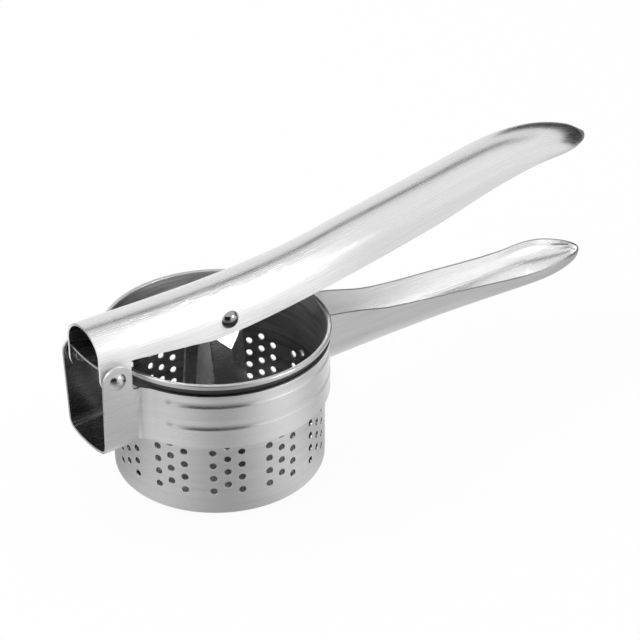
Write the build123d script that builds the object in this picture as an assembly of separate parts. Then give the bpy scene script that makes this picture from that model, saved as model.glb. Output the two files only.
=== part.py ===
"""Potato ricer in sheet steel: a perforated basket hangs in a strip holder with a trough handle,
and a channel lever, hinged behind the basket, drives a press plate down inside it.

Millimetres. The origin is the centre of the basket's underside, +Z is up and the handles point to +X.
"""
import os
from math import asin, cos, pi, radians, sin, sqrt

from build123d import *

# Basket: a drawn cup with a flared rim
rim_radius = 44.0
basket_height = 59.2
basket_wall = 0.8
basket_taper = 0.3
basket_corner = 2.4
flare_width = 2.3
flare_height = 6.0
lip_height = 1.7
lip_width = 1.6
lip_round = 0.6

# Perforation: groups of staggered columns round the wall, rings in the floor
hole_diameter = 2.7
hole_sides = 8
punch_reach = 5.0
group_count = 12
group_turn = 1.2
columns_in_group = 3
column_pitch = 5.4
row_pitch = 5.7
rows_in_column = 4
first_row_height = 11.1
floor_ring_pitch = 8.6
holes_per_ring_step = 6

# Holder band: one strip bent round the basket, with two cheeks that make the yoke
sheet = 1.0
basket_clearance = 0.8
band_height = 22.3
band_seat_gap = 0.48
yoke_bend_radius = 4.0
yoke_keel_depth = 4.3
yoke_keel_bow = 2.0
yoke_corner = 4.5
bead_radius = 4.0
bead_depth = 0.5
bead_drops = (3.2, 12.7)
bead_end_angle = 146.0
bead_handle_angle = 27.0

# Hinge behind the basket
pivot_setback = 7.8
pivot_above_rim = 1.0
ear_radius = 6.0
ear_notch_round = 1.5
lug_behind_pivot = 5.0
lug_ahead_of_pivot = 7.75
lug_below_pivot = 6.4
rivet_radius = 2.0
rivet_head_radius = 3.5
rivet_head_height = 1.7
rivet_clinch_radius = 3.2
rivet_clinch_height = 0.8
running_clearance = 0.05
side_play = 0.2
washer_radius = 4.6
washer_thickness = 1.5

# Lower handle: a trough that widens into a spoon end
handle_reach = 188.5
handle_keel_depth = 4.4
handle_tip_rise = 5.5
handle_tip_round = 28.5
trough_roundness = 0.8
handle_half_widths = ((0.0, 11.2), (0.13, 10.6), (0.28, 10.0), (0.55, 11.2), (0.8, 12.5), (1.0, 12.5))
handle_edge_drops = ((0.0, 1.0), (0.13, 5.0), (0.26, 9.8), (0.53, 14.5), (0.76, 17.9), (0.9, 17.6),
                     (1.0, 19.6))

# Press lever: an arched channel with hinge lugs, a belly at the plunger pin and a spoon end.
# Its crowns and edges are heights above the rim.
lever_reach = 187.5
lever_half_width = 11.5
lever_grip_half_width = 12.2
lever_half_widths = ((0.0, lever_half_width), (0.3, lever_half_width), (0.5, lever_half_width),
                     (0.85, lever_grip_half_width), (1.0, lever_grip_half_width))
lever_arch = 9.6
lever_tip_round = 27.0
lever_crowns = ((0.0, 18.8), (0.22, 19.0), (0.38, 21.9), (0.51, 27.5), (0.66, 34.0), (0.79, 39.4),
                (0.85, 40.1), (0.91, 38.7), (0.965, 35.1), (1.0, 30.3))
lever_edges = ((0.16, 2.4), (0.22, 0.9), (0.4, 6.2), (0.62, 16.1), (0.76, 24.9), (0.86, 29.1), (1.0, 29.9))
lever_notch_rise = 5.6
lever_notch_round = 1.2
bridge_depth = 11.0
bridge_inset = 0.8
bridge_rise = 5.9
bridge_sag = 1.0
weld_gap = 0.05

# Plunger: a dished press plate on a bracket of two creased legs, hung on a pin through the lever
pin_behind_axis = 0.9
pin_above_rim = 7.8
pin_radius = 2.5
pin_head_radius = 3.75
pin_head_height = 2.4
pin_washer_radius = 3.3
pin_washer_thickness = 1.4
pin_side_play = 0.25
plate_clearance = 3.6
plate_sheet = 1.2
plate_flange_height = 5.0
plate_corner = 2.5
plate_rest_gap = 0.3
leg_sheet = 1.3
leg_half_width = 7.0
leg_top_round = 5.5
shoulder_drop = 6.2
shoulder_height = 6.6
shoulder_slope = 0.5
leg_slope = 0.14

# Lofted handles: sections along the straight part and round the tip, and where the outer loft ends
sections_along = 9
sections_round_tip = 6
outer_tip_gap = 0.4

# Cutting tools run this far past the metal
beyond = 20.0

# Sizes that follow from the ones above
basket_neck_radius = rim_radius - flare_width
basket_foot_radius = basket_neck_radius - basket_taper
neck_z = basket_height - flare_height
flare_steepness = (flare_height - lip_height) / flare_width
band_inner_radius = basket_neck_radius + basket_clearance
band_radius = band_inner_radius + sheet
band_top = neck_z + flare_steepness * basket_clearance - band_seat_gap
band_bottom = band_top - band_height
lever_inner_half = lever_half_width - sheet
yoke_half_width = lever_half_width + washer_thickness + 2 * side_play + sheet
pivot_x = -(rim_radius + pivot_setback)
pivot_z = basket_height + pivot_above_rim
yoke_end = pivot_x - ear_radius
bend_reach = band_radius + yoke_bend_radius
bend_x = -sqrt(bend_reach**2 - (yoke_half_width + yoke_bend_radius) ** 2)
lever_end = pivot_x - lug_behind_pivot
lug_side = pivot_x + lug_ahead_of_pivot
pin_x = -pin_behind_axis
pin_z = basket_height + pin_above_rim
plate_radius = basket_foot_radius - basket_wall - plate_clearance
plate_bottom = basket_wall + plate_rest_gap
bracket_base_z = plate_bottom + plate_sheet
leg_face = lever_inner_half - pin_washer_thickness - 2 * pin_side_play
fold_z = pin_z - shoulder_drop
handle_root = band_inner_radius - 2 * sheet
inner_tip_gap = 2 * sheet


def polar(radius, angle):
    """Point of a circle about the basket's axis."""
    return Vector(radius * cos(radians(angle)), radius * sin(radians(angle)))


def corner_near(face, spot):
    """Corner of a face that lies nearest to a spot."""
    return face.vertices().sort_by_distance(spot)[0]


def across_x(x):
    """Plane across the handles at x, drawn in Y and Z."""
    return Plane(origin=(x, 0, 0), x_dir=(0, 1, 0), z_dir=(1, 0, 0))


def smooth_value(knots, place):
    """Height of a smooth line through (place, value) knots."""
    last = len(knots) - 2
    span = max((i for i in range(last + 1) if knots[i][0] <= place), default=0)

    def slope(i):
        before, after = knots[max(i - 1, 0)], knots[min(i + 1, last + 1)]
        return (after[1] - before[1]) / (after[0] - before[0])

    (x0, y0), (x1, y1) = knots[span], knots[span + 1]
    step = x1 - x0
    t = (place - x0) / step
    rise = (2 * t**3 - 3 * t**2 + 1) * y0 + (3 * t**2 - 2 * t**3) * y1
    bend = (t**3 - 2 * t**2 + t) * slope(span) + (t**3 - t**2) * slope(span + 1)
    return rise + bend * step


def rounded_end(x, reach, length):
    """Share of the full width left at x, for an end rounded as half an ellipse."""
    into = max(x - (reach - length), 0.0) / length
    return sqrt(max(1 - into**2, 0.0))


def stations(start, reach, length, tip_gap):
    """Section places: even along the handle, closer together towards its round end."""
    round_start = reach - length
    step = (round_start - start) / sections_along
    places = [start + step * i for i in range(sections_along)]
    quarter = [sin(pi / 2 * i / sections_round_tip) for i in range(sections_round_tip + 1)]
    return places + [round_start + (length - tip_gap) * share for share in quarter]


def arch_section(x, half, crown, rise, foot):
    """Closed section across X: straight sides from foot, closed by a half ellipse at crown."""
    outward = 1 if crown > foot else -1
    spring = crown - outward * rise
    sides = Polyline((-half, spring), (-half, foot), (half, foot), (half, spring))
    cap = EllipticalCenterArc((0, spring), half, rise, 0, arc_size=outward * 180)
    return across_x(x) * make_face([sides, cap])


def cross_shaft(radius, y_from, y_to, x, z):
    """Round bar along Y."""
    length = y_to - y_from
    place = Plane(origin=(x, y_from, z), x_dir=(1, 0, 0), z_dir=(0, 1, 0))
    return place * extrude(Circle(radius), amount=length)


def side_plate(outline, half_span):
    """Outline in X and Z, thickened evenly to both sides of the middle plane."""
    return extrude(Plane.XZ * outline, amount=half_span, both=True)


def basket():
    """Drawn cup with its flared rim, perforated wall and perforated floor."""
    section = make_face(
        Polyline(
            (0, 0),
            (basket_foot_radius, 0),
            (basket_neck_radius, neck_z),
            (rim_radius, basket_height - lip_height),
            (rim_radius, basket_height),
            (rim_radius - lip_width, basket_height),
            (basket_neck_radius - basket_wall, neck_z + basket_wall / 2),
            (basket_foot_radius - basket_wall, basket_wall),
            (0, basket_wall),
            close=True,
        )
    )
    section = fillet(corner_near(section, (basket_foot_radius, 0)), basket_corner)
    heel = corner_near(section, (basket_foot_radius - basket_wall, basket_wall))
    section = fillet(heel, basket_corner - basket_wall)
    lip = [corner_near(section, (r, basket_height)) for r in (rim_radius, rim_radius - lip_width)]
    section = fillet(lip, lip_round)
    cup = revolve(Plane.XZ * section, Axis.Z)
    return cup - wall_holes() - floor_holes()


def hole_punch():
    """Many-sided punch for one hole of the basket."""
    return extrude(RegularPolygon(hole_diameter / 2, hole_sides), amount=punch_reach, both=True)


def wall_holes():
    """Radial punches: groups of columns, with every other column raised by half a row."""
    punch = hole_punch()
    column_turn = column_pitch / basket_foot_radius * 180 / pi
    middle = (columns_in_group - 1) / 2
    holes = []
    for group in range(group_count):
        for column in range(columns_in_group):
            angle = group_turn + group * 360 / group_count + (column - middle) * column_turn
            stagger = row_pitch / 2 if column % 2 else 0.0
            for row in range(rows_in_column):
                height = first_row_height + stagger + row * row_pitch
                spot = polar(basket_foot_radius, angle)
                way = polar(1, angle)
                holes.append(Plane(origin=(spot.X, spot.Y, height), x_dir=(0, 0, 1), z_dir=way) * punch)
    return holes


def floor_holes():
    """Upright punches on rings, each ring with more holes than the one inside it."""
    punch = hole_punch()
    flat_radius = basket_foot_radius - basket_corner - hole_diameter
    holes = []
    for ring in range(1, int(flat_radius / floor_ring_pitch) + 1):
        count = holes_per_ring_step * ring
        for k in range(count):
            holes.append(Pos(polar(ring * floor_ring_pitch, 360 * k / count)) * punch)
    return holes


def strip_side(inset):
    """Plan line of the strip, inset from its outer face: cheek, bend, ring, bend and cheek."""
    half = yoke_half_width - inset
    centre = Vector(bend_x, -(yoke_half_width + yoke_bend_radius))
    to_ring = centre * (-1 / bend_reach)
    middle = (to_ring + Vector(0, 1)).normalized()
    bend = yoke_bend_radius + inset
    cheek_end = Vector(yoke_end, -half)
    bend_start = Vector(bend_x, -half)
    bend_end = centre + to_ring * bend
    bend_middle = centre + middle * bend
    cheek = Line(cheek_end, bend_start)
    corner = ThreePointArc(bend_start, bend_middle, bend_end)
    ring_front = Vector(band_radius - inset, 0)
    ring = ThreePointArc(bend_end, ring_front, Vector(bend_end.X, -bend_end.Y))
    return [cheek, corner, ring, mirror(corner, Plane.XZ), mirror(cheek, Plane.XZ)]


def yoke_section(inset):
    """Closed U of the yoke, inset from its outer face, up to the pivot's height."""
    half = yoke_half_width - inset
    keel = band_bottom - yoke_keel_depth + inset
    side = keel + yoke_keel_bow
    outline = make_face(
        [
            Polyline((-half, side), (-half, pivot_z), (half, pivot_z), (half, side)),
            ThreePointArc((half, side), (0, keel), (-half, side)),
        ]
    )
    low = outline.vertices().group_by(Axis.Y)[0]
    return fillet(low, yoke_corner - inset)


def bead(drop):
    """Tools for one rolled bead with round ends, along the front and the rear of the ring."""
    start = Pos(band_radius + bead_radius - bead_depth, 0, band_top - drop)
    sweep_angle = bead_end_angle - bead_handle_angle
    downward = Axis((0, 0, 0), (0, 0, -1))
    groove = revolve(start * (Plane.XZ * Circle(bead_radius)), downward, sweep_angle)
    ends = [Rot(0, 0, -angle) * (start * Sphere(bead_radius)) for angle in (0, sweep_angle)]
    front = [Rot(0, 0, -bead_handle_angle) * tool for tool in [groove] + ends]
    return front + [mirror(tool, Plane.XZ) for tool in front]


def holder_band():
    """Strip ring with its yoke: cheeks with hinge ears, joined underneath by a U-shaped keel."""
    cheek_end = Line((yoke_end, yoke_half_width), (yoke_end, yoke_half_width - sheet))
    plan = make_face(strip_side(0) + strip_side(sheet) + [cheek_end, mirror(cheek_end, Plane.XZ)])
    strip = Pos(0, 0, band_bottom) * extrude(plan, amount=pivot_z + ear_radius - band_bottom)
    ear_edge = pivot_x + ear_radius
    side = make_face(
        Polyline(
            (yoke_end, 0), (yoke_end, pivot_z), (ear_edge, pivot_z), (ear_edge, band_top),
            (rim_radius + beyond, band_top), (rim_radius + beyond, 0), close=True,
        )
    )
    side = fillet(corner_near(side, (ear_edge, band_top)), ear_notch_round)
    side += Pos(pivot_x, pivot_z) * Circle(ear_radius)
    strip = strip & side_plate(side, rim_radius + beyond)
    u_wall = yoke_section(0) - yoke_section(sheet)
    channel = extrude(across_x(yoke_end) * u_wall, amount=bend_x - yoke_end)
    low_wall = u_wall & (Pos(0, band_bottom / 2) * Rectangle(2 * rim_radius, band_bottom))
    tongue = extrude(across_x(yoke_end) * low_wall, amount=beyond - band_inner_radius - yoke_end)
    hoop_space = extrude(Circle(band_inner_radius), amount=basket_height)
    band = strip + channel + (tongue - hoop_space)
    for drop in bead_drops:
        for tool in bead(drop):
            band -= tool
    return band - cross_shaft(rivet_radius + running_clearance, -beyond, beyond, pivot_x, pivot_z)


def handle_place(x):
    """Share of the lower handle's length at x."""
    return (x - handle_root) / (handle_reach - handle_root)


def handle_keel(x):
    """Height of the lower handle's underside at x, turned up towards the tip."""
    turn_up = handle_tip_rise * (1 - rounded_end(x, handle_reach, handle_tip_round))
    return band_bottom - handle_keel_depth + turn_up


def trough(inset, head_room, tip_gap):
    """Solid inside the handle's outer face, or inset from it, up to its edges plus the head room."""
    sections = []
    for x in stations(handle_root - 2 * inset, handle_reach, handle_tip_round, tip_gap):
        width_left = rounded_end(x, handle_reach, handle_tip_round)
        half = smooth_value(handle_half_widths, handle_place(x)) * width_left - inset
        edge = band_top - smooth_value(handle_edge_drops, handle_place(x))
        keel = handle_keel(x) + inset
        rise = min(half, trough_roundness * (edge - keel))
        sections.append(arch_section(x, half, keel, rise, edge + head_room))
    return loft(sections)


def lower_handle():
    """Trough handle, its root shaped to the outside of the band."""
    shell = trough(0, 0, outer_tip_gap) - trough(sheet, beyond, inner_tip_gap)
    return shell - extrude(Circle(band_radius), amount=basket_height)


def lever_place(x):
    """Share of the lever's length at x."""
    return (x - lever_end) / (lever_reach - lever_end)


def lever_x(place):
    """The x of a share of the lever's length."""
    return lever_end + place * (lever_reach - lever_end)


def arch(inset, tip_gap):
    """Solid under the lever's outer face, or inset from it, down past the hinge lugs."""
    foot = pivot_z - lug_below_pivot - beyond - 2 * inset
    sections = []
    for x in stations(lever_end - 2 * inset, lever_reach, lever_tip_round, tip_gap):
        half = smooth_value(lever_half_widths, lever_place(x)) * rounded_end(x, lever_reach, lever_tip_round)
        crown = basket_height + smooth_value(lever_crowns, lever_place(x)) - inset
        rise = min(lever_arch, half) - inset
        sections.append(arch_section(x, half - inset, crown, rise, foot))
    return loft(sections)


def lever_side():
    """Side view of the lever: lug, notch over the rim, belly at the pin and spoon edge."""
    roof = basket_height + max(rise for place, rise in lever_crowns) + beyond
    past_tip = lever_reach + beyond
    notch = (lug_side, basket_height + lever_notch_rise)
    edge = [(lever_x(place), basket_height + rise) for place, rise in lever_edges]
    lug_start = (lever_end, pivot_z)
    over_top = Polyline(edge[-1], (past_tip, edge[-1][1]), (past_tip, roof), (lever_end, roof), lug_start)
    lug_middle = (lever_end + lug_side) / 2
    lug = ThreePointArc(lug_start, (lug_middle, pivot_z - lug_below_pivot), (lug_side, pivot_z))
    outline = make_face([Spline(notch, *edge), over_top, lug, Line((lug_side, pivot_z), notch)])
    return fillet(corner_near(outline, notch), lever_notch_round)


def upper_lever():
    """Arched channel lever with its hinge lugs and the holes for the rivets and the pin."""
    shell = (arch(0, outer_tip_gap) & side_plate(lever_side(), beyond)) - arch(sheet, inner_tip_gap)
    lug_holes = cross_shaft(rivet_radius + running_clearance, -beyond, beyond, pivot_x, pivot_z)
    pin_holes = cross_shaft(pin_radius + running_clearance, -beyond, beyond, pin_x, pin_z)
    return shell - lug_holes - pin_holes


def lever_bridge():
    """Bowed tie between the lever's walls, just above the hinge."""
    half = lever_inner_half - weld_gap
    top = basket_height + bridge_rise
    bow = make_face(
        [
            ThreePointArc((-half, top), (0, top - bridge_sag), (half, top)),
            Line((half, top), (half, top - sheet)),
            ThreePointArc((half, top - sheet), (0, top - sheet - bridge_sag), (-half, top - sheet)),
            Line((-half, top - sheet), (-half, top)),
        ]
    )
    return extrude(across_x(lever_end + bridge_inset) * bow, amount=bridge_depth)


def dome(radius, height):
    """Low rivet head standing on the XY plane."""
    ball = (radius**2 + height**2) / (2 * height)
    half_turn = asin(radius / ball) / 2
    middle = (ball * sin(half_turn), height - ball + ball * cos(half_turn))
    cap = ThreePointArc((radius, 0), middle, (0, height))
    section = make_face([Polyline((0, height), (0, 0), (radius, 0)), cap])
    return revolve(Plane.XZ * section, Axis.Z)


def head_at(y, x, z, radius, height):
    """Rivet head on a face at y, pointing away from the middle plane."""
    outward = 1 if y > 0 else -1
    return Plane(origin=(x, y, z), x_dir=(1, 0, 0), z_dir=(0, outward, 0)) * dome(radius, height)


def pivot_rivet(side):
    """Hinge rivet of one cheek: head outside the ear, shank, and clinched end inside the lug."""
    clinch_face = lever_inner_half - side_play
    clinch_end = clinch_face - rivet_clinch_height
    rivet = cross_shaft(rivet_radius, clinch_end, yoke_half_width, pivot_x, pivot_z)
    rivet += cross_shaft(rivet_clinch_radius, clinch_end, clinch_face, pivot_x, pivot_z)
    rivet += head_at(yoke_half_width, pivot_x, pivot_z, rivet_head_radius, rivet_head_height)
    return rivet if side > 0 else mirror(rivet, Plane.XZ)


def pivot_washer(side):
    """Spacer on the rivet, between the ear and the lug."""
    inner = lever_half_width + side_play
    ring = cross_shaft(washer_radius, inner, inner + washer_thickness, pivot_x, pivot_z)
    ring -= cross_shaft(rivet_radius + running_clearance, 0, beyond, pivot_x, pivot_z)
    return ring if side > 0 else mirror(ring, Plane.XZ)


def plunger_pin():
    """Pin riveted through both walls of the lever, which the bracket hangs on."""
    seat = lever_half_width + weld_gap
    pin = cross_shaft(pin_radius, -seat, seat, pin_x, pin_z)
    for face in (-seat, seat):
        pin += head_at(face, pin_x, pin_z, pin_head_radius, pin_head_height)
    return pin


def pin_washer(side):
    """Spacer on the pin, between the lever's wall and the bracket's leg."""
    inner = leg_face + pin_side_play
    ring = cross_shaft(pin_washer_radius, inner, inner + pin_washer_thickness, pin_x, pin_z)
    ring -= cross_shaft(pin_radius + running_clearance, 0, beyond, pin_x, pin_z)
    return ring if side > 0 else mirror(ring, Plane.XZ)


def bracket_leg():
    """Rear leg: a flat tab at the pin, a triangular shoulder and two facets that meet in a ridge."""
    left, right = pin_x - leg_half_width, pin_x + leg_half_width
    ridge_z = fold_z - shoulder_height
    ridge_y = leg_face + shoulder_slope * shoulder_height
    foot_y = leg_face + leg_slope * (fold_z - bracket_base_z)
    ridge_foot = (pin_x, ridge_y + leg_slope * (ridge_z - bracket_base_z), bracket_base_z)
    apex = (pin_x, ridge_y, ridge_z)
    tab_left, tab_right = (pin_x - leg_top_round, pin_z), (pin_x + leg_top_round, pin_z)
    tab_sides = Polyline(tab_left, (left, fold_z), (right, fold_z), tab_right)
    tab = make_face([tab_sides, ThreePointArc(tab_right, (pin_x, pin_z + leg_top_round), tab_left)])
    facets = [Pos(0, leg_face, 0) * (Plane.XZ * tab)]
    facets.append(make_face(Polyline((left, leg_face, fold_z), (right, leg_face, fold_z), apex, close=True)))
    for edge in (left, right):
        fold, foot = (edge, leg_face, fold_z), (edge, foot_y, bracket_base_z)
        facets.append(make_face(Polyline(fold, apex, ridge_foot, foot, close=True)))
    solids = [extrude(facet, amount=leg_sheet, dir=(0, -1, 0)) for facet in facets]
    return solids[0] + solids[1:], foot_y, ridge_foot[1]


def plunger_bracket():
    """Bent strap: two creased legs that rise from a base plate to the pin."""
    rear, foot_y, ridge_y = bracket_leg()
    left, right = pin_x - leg_half_width, pin_x + leg_half_width
    base = make_face(
        Polyline((left, foot_y), (pin_x, ridge_y), (right, foot_y), (right, -foot_y), (pin_x, -ridge_y),
                 (left, -foot_y), close=True)
    )
    strap = rear + mirror(rear, Plane.XZ) + Pos(0, 0, bracket_base_z) * extrude(base, amount=leg_sheet)
    return strap - cross_shaft(pin_radius + running_clearance, -beyond, beyond, pin_x, pin_z)


def press_plate():
    """Dished plate with an upturned flange."""
    top = plate_bottom + plate_sheet
    flange_top = plate_bottom + plate_flange_height
    inside = plate_radius - plate_sheet
    section = make_face(
        Polyline((0, plate_bottom), (plate_radius, plate_bottom), (plate_radius, flange_top),
                 (inside, flange_top), (inside, top), (0, top), close=True)
    )
    section = fillet(corner_near(section, (plate_radius, plate_bottom)), plate_corner)
    section = fillet(corner_near(section, (inside, top)), plate_corner - plate_sheet)
    return revolve(Plane.XZ * section, Axis.Z)


nodes = {
    "basket": basket(),
    "holder_band": holder_band(),
    "lower_handle": lower_handle(),
    "upper_lever": upper_lever(),
    "lever_bridge": lever_bridge(),
    "pivot_rivet_front": pivot_rivet(-1),
    "pivot_rivet_rear": pivot_rivet(1),
    "pivot_washer_front": pivot_washer(-1),
    "pivot_washer_rear": pivot_washer(1),
    "plunger_pin": plunger_pin(),
    "pin_washer_front": pin_washer(-1),
    "pin_washer_rear": pin_washer(1),
    "plunger_bracket": plunger_bracket(),
    "press_plate": press_plate(),
}

os.makedirs("parts", exist_ok=True)
for name, shape in nodes.items():
    export_step(shape, f"parts/{name}.step")
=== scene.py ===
"""Looks of the potato ricer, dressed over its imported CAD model.

Lengths are in millimetres until a mesh is made, and repeat the CAD source where it has them. The stage
is in metres and degrees.
"""
from math import asin, atan2, cos, degrees, dist, exp, pi, radians, sin, sqrt, tan

import bpy
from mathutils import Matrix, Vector


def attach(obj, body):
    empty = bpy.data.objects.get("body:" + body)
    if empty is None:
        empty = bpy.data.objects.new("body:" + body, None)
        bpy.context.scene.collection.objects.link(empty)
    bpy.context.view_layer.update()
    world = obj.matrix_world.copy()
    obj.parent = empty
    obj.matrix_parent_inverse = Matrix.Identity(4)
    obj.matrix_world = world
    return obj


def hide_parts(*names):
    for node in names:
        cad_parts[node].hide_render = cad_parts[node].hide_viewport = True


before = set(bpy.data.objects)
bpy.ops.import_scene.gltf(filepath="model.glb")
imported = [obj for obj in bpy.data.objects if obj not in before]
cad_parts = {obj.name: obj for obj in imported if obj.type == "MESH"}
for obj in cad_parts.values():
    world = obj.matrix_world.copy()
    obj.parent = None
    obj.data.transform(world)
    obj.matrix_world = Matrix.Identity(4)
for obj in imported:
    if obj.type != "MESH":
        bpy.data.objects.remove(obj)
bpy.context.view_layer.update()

MM = 0.001

# Basket
rim_radius = 44.0
basket_height = 59.2
foot_radius = 41.4
neck_radius = 41.7
basket_wall = 0.8
basket_corner = 2.4
neck_z = 53.2
neck_rounds = (2.0, 3.0)
plain_wall_z = 36.0
lip_height = 1.7
lip_width = 1.6
lip_z = basket_height - lip_height
lip_setback = 0.35
lip_drop = 0.3
lip_rounds = (0.3, 0.25, 0.55, 0.6)
flare_shadow_z = 51.0
flare_shadow_gap = 0.35
hole_radius = 1.35
hole_chamfer = 0.14
group_count = 12
group_turn = 1.2
columns_in_group = 3
column_pitch = 5.4
row_pitch = 5.7
rows_in_column = 4
first_row_height = 11.1
floor_ring_pitch = 8.6
floor_rings = 4
floor_holes_step = 6
floor_margin = 0.4
floor_rim_gap = 1.0

# Holder band and yoke; the cheeks lean out a little towards the hinge
sheet = 1.0
band_top = 54.22
band_bottom = 31.92
band_radius = 43.5
yoke_half_width = 14.4
yoke_lean = 0.05
yoke_level_z = 49.0
yoke_bend_radius = 4.0
yoke_keel = 27.62
yoke_keel_bow = 2.0
yoke_corner = 4.5
yoke_end = -57.8
keel_stations = (-7.0, -5.0, -3.5, -2.0, -1.0, 0.0)
keel_gap = 0.05
bead_radius = 4.0
bead_depth = 0.5
bead_heights = (band_top - 3.2, band_top - 12.7)
bead_end_angle = 146.0
bead_handle_angle = 27.0
bead_margin = 0.3
ear_radius = 6.0
ear_notch_round = 1.5
bend_y = yoke_half_width + yoke_bend_radius
bend_x = -sqrt((band_radius + yoke_bend_radius) ** 2 - bend_y**2)

# Hinge, rivets and pin; a washer has its bore, its radius, and its inner and outer face
pivot_x, pivot_z = -51.8, 60.2
ear_edge = pivot_x + ear_radius
rivet_radius = 2.0
rivet_head_radius, rivet_head_height = 3.5, 1.7
clinch_radius = 3.2
clinch_inner, clinch_outer = 9.5, 10.3
pivot_washer = (2.05, 4.6, 11.7, 13.5)
pin_x, pin_z = -0.9, 67.0
pin_radius = 2.5
pin_seat = 11.55
pin_head_radius, pin_head_height = 3.75, 2.4
pin_washer = (2.55, 3.3, 8.85, 10.25)
axis_gap = 0.02

# Press plate
plate_radius = 37.0
plate_z = 1.1
plate_flange_z = 6.1
plate_sheet = 1.2
plate_corner, plate_inner_corner = 2.5, 1.3
plate_edge_round = 0.4

# Lower handle: half widths, and drops of its edge below the band's top, at shares of its length
handle_root = 40.5
handle_reach = 188.5
handle_keel = band_bottom - 4.4
handle_tip_rise = 5.5
handle_tip_round = 28.5
trough_roundness = 0.8
handle_half_widths = ((0.0, 11.2), (0.13, 10.6), (0.28, 10.0), (0.55, 11.2), (0.8, 12.5), (1.0, 12.5))
handle_edge_drops = ((0.0, 1.0), (0.13, 5.0), (0.26, 9.8), (0.53, 14.5), (0.76, 17.9), (0.9, 17.6),
                     (1.0, 19.6))

# Upper lever: half widths, and heights of crown and edge over the basket, at shares of its length.
# Near the pin the edge is up to 0.3 mm higher than in the CAD source, so that the bracket clears it.
lever_reach = 187.5
lever_end = -56.8
lug_side = -44.05
lug_middle, lug_half = (lever_end + lug_side) / 2, (lug_side - lever_end) / 2
lug_below_pivot = 6.4
lever_arch = 9.6
lever_tip_round = 27.0
lever_half_widths = ((0.0, 11.5), (0.3, 11.5), (0.5, 11.5), (0.85, 12.2), (1.0, 12.2))
lever_crowns = ((0.0, 18.8), (0.22, 19.0), (0.38, 21.9), (0.51, 27.5), (0.66, 34.0), (0.79, 39.4),
                (0.85, 40.1), (0.91, 38.7), (0.965, 35.1), (1.0, 30.3))
lever_edges = ((0.16, 2.5), (0.22, 1.2), (0.4, 6.2), (0.62, 16.1), (0.76, 24.9), (0.86, 29.1), (1.0, 29.9))
lever_notch_rise = 5.6
lever_notch_round = 1.2
lever_notch_start = 0.02

# Round tips: how far from their very end the outer and the inner skin stop
tip_gap = 0.03
pocket_gap = 1.6
least_half = 0.05

# Fineness of the meshes
cell_lines = 6
corner_steps = 6
keel_corner_steps = 12
band_row_height = 0.32
ring_columns = 240
bend_columns = 10
cheek_columns = 8
keel_columns = 5
notch_steps = 6
ear_steps = 32
arc_points = 48
wall_rows, arc_rows = 6, 16
least_wall, most_wall_share = 2.0, 0.75
handle_rows = 36
lug_steps = 28
lever_rows = 70
tip_rows = 20
dome_steps = 14
round_segments, plate_segments = 64, 160
shortest_step = 1e-9

# Softened edges, and the angles in degrees from which an edge is sharp
sheet_soft, band_soft, head_soft, washer_soft = 0.2, 0.18, 0.12, 0.1
soft_segments = 2
soft_angle = 40
basket_crease, sheet_crease, turned_crease = 30, 40, 35

# Materials of a face; the shadow is a painted shadow, dark, on the underside of the basket's flare
outside, inside, shadow = 0, 1, 2

# Sockets of a colour mix: its share and two colours, and its result
mix_inputs, mix_output = (0, 6, 7), 2

# Finish of the steel; streaks and bands are scaled along and across the grain
grain_layer = "grain"
turned_grain = 40.0
grain_turn = 0.25
streak_scale, streak_detail, streak_roughness = (0.04, 1.8), 4.0, 0.65
band_scale, band_detail = (0.02, 0.4), 2.0
patch_scale, patch_detail = 38.0, 3.0
noise_middle = (0.3, 0.7)
streak_share, band_share = 0.6, 0.4
dark_tint, light_tint = 1.005, 1.002
# Edges made lighter by pointiness: a painted highlight
edge_highlight_pointiness = (0.52, 0.64)
edge_highlight_share = 0.35
edge_highlight_shade = 0.9
patch_haze, streak_haze = 0.03, 0.06
streak_relief, relief_depth = 0.12, 0.0002

# Where a channel turns satin, off its crown, and bright, towards its tip
satin_sides_at = (3.0, 10.0)
bright_tip_at = (140.0, 175.0)

# Painted shade: the inside of the basket is darker towards its floor
painted_shade_heights = (20.0 * MM, 54.0 * MM)
painted_shade_shares = (0.75, 1.5)

# Floor, and its tones in reflections: dark flags by azimuth, width and depth, and sectors dark far out
floor_size = 6.0
floor_gap = 0.0002
floor_shade, floor_glow = 0.92, 0.93
card_columns = 120
ring_flags = ((-118, 36, 0.5), (142, 44, 0.56), (-30, 26, 0.36))
ring_sectors = ((-126, 50), (15, 38))
ring_sector_depth = 0.8
ring_reaches = ((0.036, 0.0), (0.1, 0.0), (0.2, 0.5), (0.35, 1.0), (1.2, 1.0))

# Dark cards: name, azimuth, elevation, distance, width and height
cards = (
    ("card_front", -126, 19, 1.3, 1.6, 0.95),
    ("card_over", 40, 55, 1.2, 1.2, 0.2),
    ("card_back", 15, 9, 1.4, 1.95, 0.95),
)
card_aim = (0.04, 0, 0.04)
card_shade = 0.02

# Lamps: name, place, aim, width, height, power and spread
lamps = (
    ("key", (0.27, -0.42, 0.3), (-0.008, 0, 0.08), 0.06, 0.06, 0.0135, 8),
    ("side", (0.32, -0.42, 0.34), (0.115, 0, 0.034), 0.2, 0.03, 0.0055, 4),
    ("fill", (-0.6, 0.5, 0.9), (0.05, 0, 0.04), 0.7, 0.7, 3.0, 180),
)
sky_overhead = 0.9
sky_strength = 0.95

# Camera of the photograph
view_azimuth, view_elevation = -126.32, 30.43
view_aim = (0.04907, 0, 0.04392)
view_distance = 0.7
view_lens = 98.9


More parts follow.
